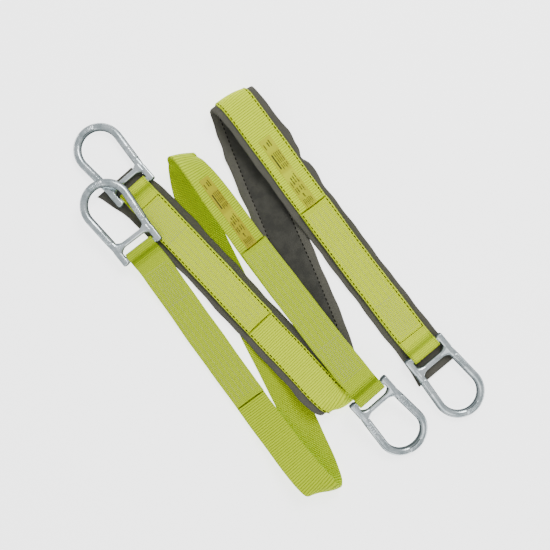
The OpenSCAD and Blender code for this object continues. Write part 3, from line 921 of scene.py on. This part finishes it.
def edge_seams(name, node, side):
    """One of the two seams that hold the pad: on the tails, on the single ply and on the pad's back."""
    main, length, pitch = padded_main, padded_main.length, 7.0

    def wobble(d):
        return drawn_in(main, PADDED_CORNERS, d, side + 0.25 * np.sin(d / 41.0) + 0.15 * np.sin(d / 17.0))

    def out(lift):
        return lambda d, s: lift + fold_push(main, PADDED_FOLDS, d, s)

    on_top, on_back = WEB_T / 2 + 0.3, -WEB_T / 2 - GAP - PAD_T + 0.45
    ends = row_of(main, PADDED_TAIL + 4, length - PADDED_TAIL - 4, pitch, 0.68, wobble, out(on_top))
    for part, s in ((main, side), (main.reverse(), -side)):
        ends += row_of(tail_of(part, PADDED_TAIL), STITCH_FROM - 4, PADDED_TAIL - 1, pitch, 0.68, s, on_top)
    ends += [(p, q, -up) for p, q, up in row_of(main, 30, length - 30, pitch, 0.72, wobble, out(on_back))]
    sewing(name, ends, 0.78, DARK, node)


edge_seams("pad_edge_thread_left", "pad_edge_seam_left", -SEAM_SIDE)
edge_seams("pad_edge_thread_right", "pad_edge_seam_right", SEAM_SIDE)


# ------------------------------------------------------------------ rings
# A ring's own frame, in mm: the end bar's axis is Y and the bow is on +X.
LEG_REACH = math.hypot(BOW_X - CROSSBAR_X, LEG_Y)
SPREAD = math.asin(BOW_R / LEG_REACH) - math.atan(LEG_Y / (BOW_X - CROSSBAR_X))  # legs open outwards
EAR_TIP = 3.2                       # length of an ear's rounded end
MARK_TOP = ROD / 2 + 0.3            # height of the raised pads
VOXEL = 0.00052                     # the grid, in metres, that fuses the forging's parts
UP = np.array([0, 0, 1.0])


def rounded_ring(count, a, b, power, scale=1.0):
    """Points round a section of half sizes a and b: power 2 is an ellipse, and more is squarer."""
    ring = []
    for k in range(count):
        t = 2 * math.pi * k / count
        c, s = math.cos(t), math.sin(t)
        ring.append((math.copysign(abs(c) ** (2 / power), c) * a * scale,
                     math.copysign(abs(s) ** (2 / power), s) * b * scale))
    return ring


def ring_rail():
    """The ears, legs and bow in one sweep."""
    leg = math.sqrt(LEG_REACH ** 2 - BOW_R ** 2)
    ear_y = LEG_Y + (FULL_EAR - EAR_W) / 2 - 0.15
    ear_x = [-EAR_END + v for v in (0, 0.5, 1.3, 2.4)] + list(np.linspace(-3, CROSSBAR_X - 2, 8))
    half = [(x, ear_y, 0.0) for x in ear_x]
    half += [(CROSSBAR_X + t * math.cos(SPREAD), LEG_Y + t * math.sin(SPREAD), SPREAD)
             for t in np.linspace(0, leg, 16)]
    arc = [(BOW_X + BOW_R * math.cos(a), BOW_R * math.sin(a), a - math.pi / 2)
           for a in np.linspace(math.pi / 2 + SPREAD, -math.pi / 2 - SPREAD, 49)[1:-1]]
    frames, rings = [], []
    for x, y, a in half + arc + [(x, -y, -math.pi - a) for x, y, a in half[::-1]]:
        f = ease((x - 14) / 26)                                 # ear section to round rod
        w, h = FULL_EAR / 2 * (1 - f) + ROD / 2 * f, EAR_H / 2 * (1 - f) + ROD / 2 * f
        into = -x - EAR_END + EAR_TIP
        tip = min(1, math.sqrt(max(0.0, 1 - into ** 2 / EAR_TIP ** 2)) + 0.04) if into > 0 else 1
        frames.append((np.array([x, y, 0.0]), np.array([-math.sin(a), math.cos(a), 0]), UP))
        rings.append(rounded_ring(28, w, h, 4.5 * (1 - f) + 2.15 * f, tip))
    return tube(frames, rings)


def ring_bar(x, r, flare=0.0, flare_len=1.0, squash=1.0):
    """A bar across the slot, which may flare where it meets the legs."""
    frames, rings = [], []
    for y in np.linspace(-SLOT_W / 2 - 3, SLOT_W / 2 + 3, 45):
        k = max(0.0, 1 - (SLOT_W / 2 + 1 - abs(y)) / flare_len)
        frames.append((np.array([x, y, 0.0]), np.array([1.0, 0, 0]), UP))
        rings.append(rounded_ring(24, r + flare * min(1.2, k) ** 2, r * squash + flare * 0.35 * k, 2.5))
    return tube(frames, rings)


def plate(points, up):
    """A raised pad: a flat top over an outline of (centre, across, half width)."""
    low, edge = up - 2.5, up - 0.5
    return tube([(p, across, UP) for p, across, _ in points],
                [[(-w, low), (w, low), (w, edge), (w * 0.88, up), (-w * 0.88, up), (-w, edge)]
                 for _, _, w in points])


def bow_marks(shift):
    """A raised pad on the bow with plain bars in place of lettering; shift turns them, in degrees."""
    def at(a):
        return (np.array([BOW_X + BOW_R * math.cos(a), BOW_R * math.sin(a), 0]),
                np.array([math.cos(a), math.sin(a), 0]))

    plates = [plate([(*at(a), 4.0) for a in np.radians(np.linspace(-19, 19, 17) + shift)], MARK_TOP)]
    for k in range(7):
        a = math.radians(-14 + 4.4 * k + shift)
        centre, across = at(a)
        along = np.array([-math.sin(a), math.cos(a), 0])
        w = 2.3 - 0.5 * (k % 2)
        plates.append(plate([(centre - along * 0.45, across, w), (centre + along * 0.45, across, w)],
                            MARK_TOP + 0.38))
    return plates


def leg_marks(side):
    """A long raised pad on a leg, a stop at its end and four short bars."""
    def strip(xs, w, up):
        return plate([(np.array([x, side * (LEG_Y + (x - CROSSBAR_X) * math.tan(SPREAD)), 0]),
                       np.array([0, 1.0, 0]), w) for x in xs], up)

    def bar(x, length, w, up):
        y = side * (LEG_Y + (x - CROSSBAR_X) * math.tan(SPREAD))
        return plate([(np.array([v, y, 0]), np.array([0, 1.0, 0]), w) for v in (x, x + length)], up)

    return ([strip(np.linspace(37, 57, 7), 3.0, MARK_TOP - 0.05), bar(35, 1.2, 5.0, MARK_TOP + 0.05)]
            + [bar(41 + 4.2 * k, 0.9, 1.9, MARK_TOP + 0.4) for k in range(4)])


def ring_mesh(name, mark_shift):
    """One forged ring: its parts fused, relaxed and thinned."""
    parts = [ring_rail(), ring_bar(0, BAR_D / 2),
             ring_bar(CROSSBAR_X, FULL_CROSSBAR / 2, flare=6.5, flare_len=12.0, squash=0.86)]
    parts += bow_marks(mark_shift) + leg_marks(-1) + leg_marks(1)
    faces, base = [], 0
    for v, f in parts:
        faces += [[i + base for i in face] for face in f]
        base += len(v)
    ob = new_object(name, np.vstack([v for v, _ in parts]), faces, STEEL, lies=False)
    remesh = ob.modifiers.new("merge", "REMESH")
    remesh.mode = "VOXEL"
    remesh.voxel_size = VOXEL
    remesh.use_smooth_shade = True
    relax = ob.modifiers.new("relax", "SMOOTH")
    relax.factor = 0.5
    relax.iterations = 5
    thin = ob.modifiers.new("thin", "DECIMATE")
    thin.ratio = 0.45
    bpy.context.view_layer.update()
    mesh = bpy.data.meshes.new_from_object(ob.evaluated_get(bpy.context.evaluated_depsgraph_get()))
    mesh.name = name
    bpy.data.objects.remove(ob)
    mesh.polygons.foreach_set("use_smooth", [True] * len(mesh.polygons))
    mesh.materials.clear()
    mesh.materials.append(STEEL)
    return mesh


def place_ring(name, node, at, mesh):
    ob = bpy.data.objects.new(name, mesh)
    bpy.context.scene.collection.objects.link(ob)
    ob.location = np.array(at[:3]) * MM
    ob.rotation_euler = (0, -math.radians(at[4]), math.radians(at[3]))
    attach(ob, node)
    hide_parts(node)


mesh_a, mesh_b = ring_mesh("ring_a_steel", -5), ring_mesh("ring_b_steel", 3)
place_ring("plain_ring_a_forging", "plain_ring_a", PLAIN_A, mesh_a)
place_ring("padded_ring_a_forging", "padded_ring_a", PADDED_A, mesh_a)
place_ring("plain_ring_b_forging", "plain_ring_b", PLAIN_B, mesh_b)
place_ring("padded_ring_b_forging", "padded_ring_b", PADDED_B, mesh_b)
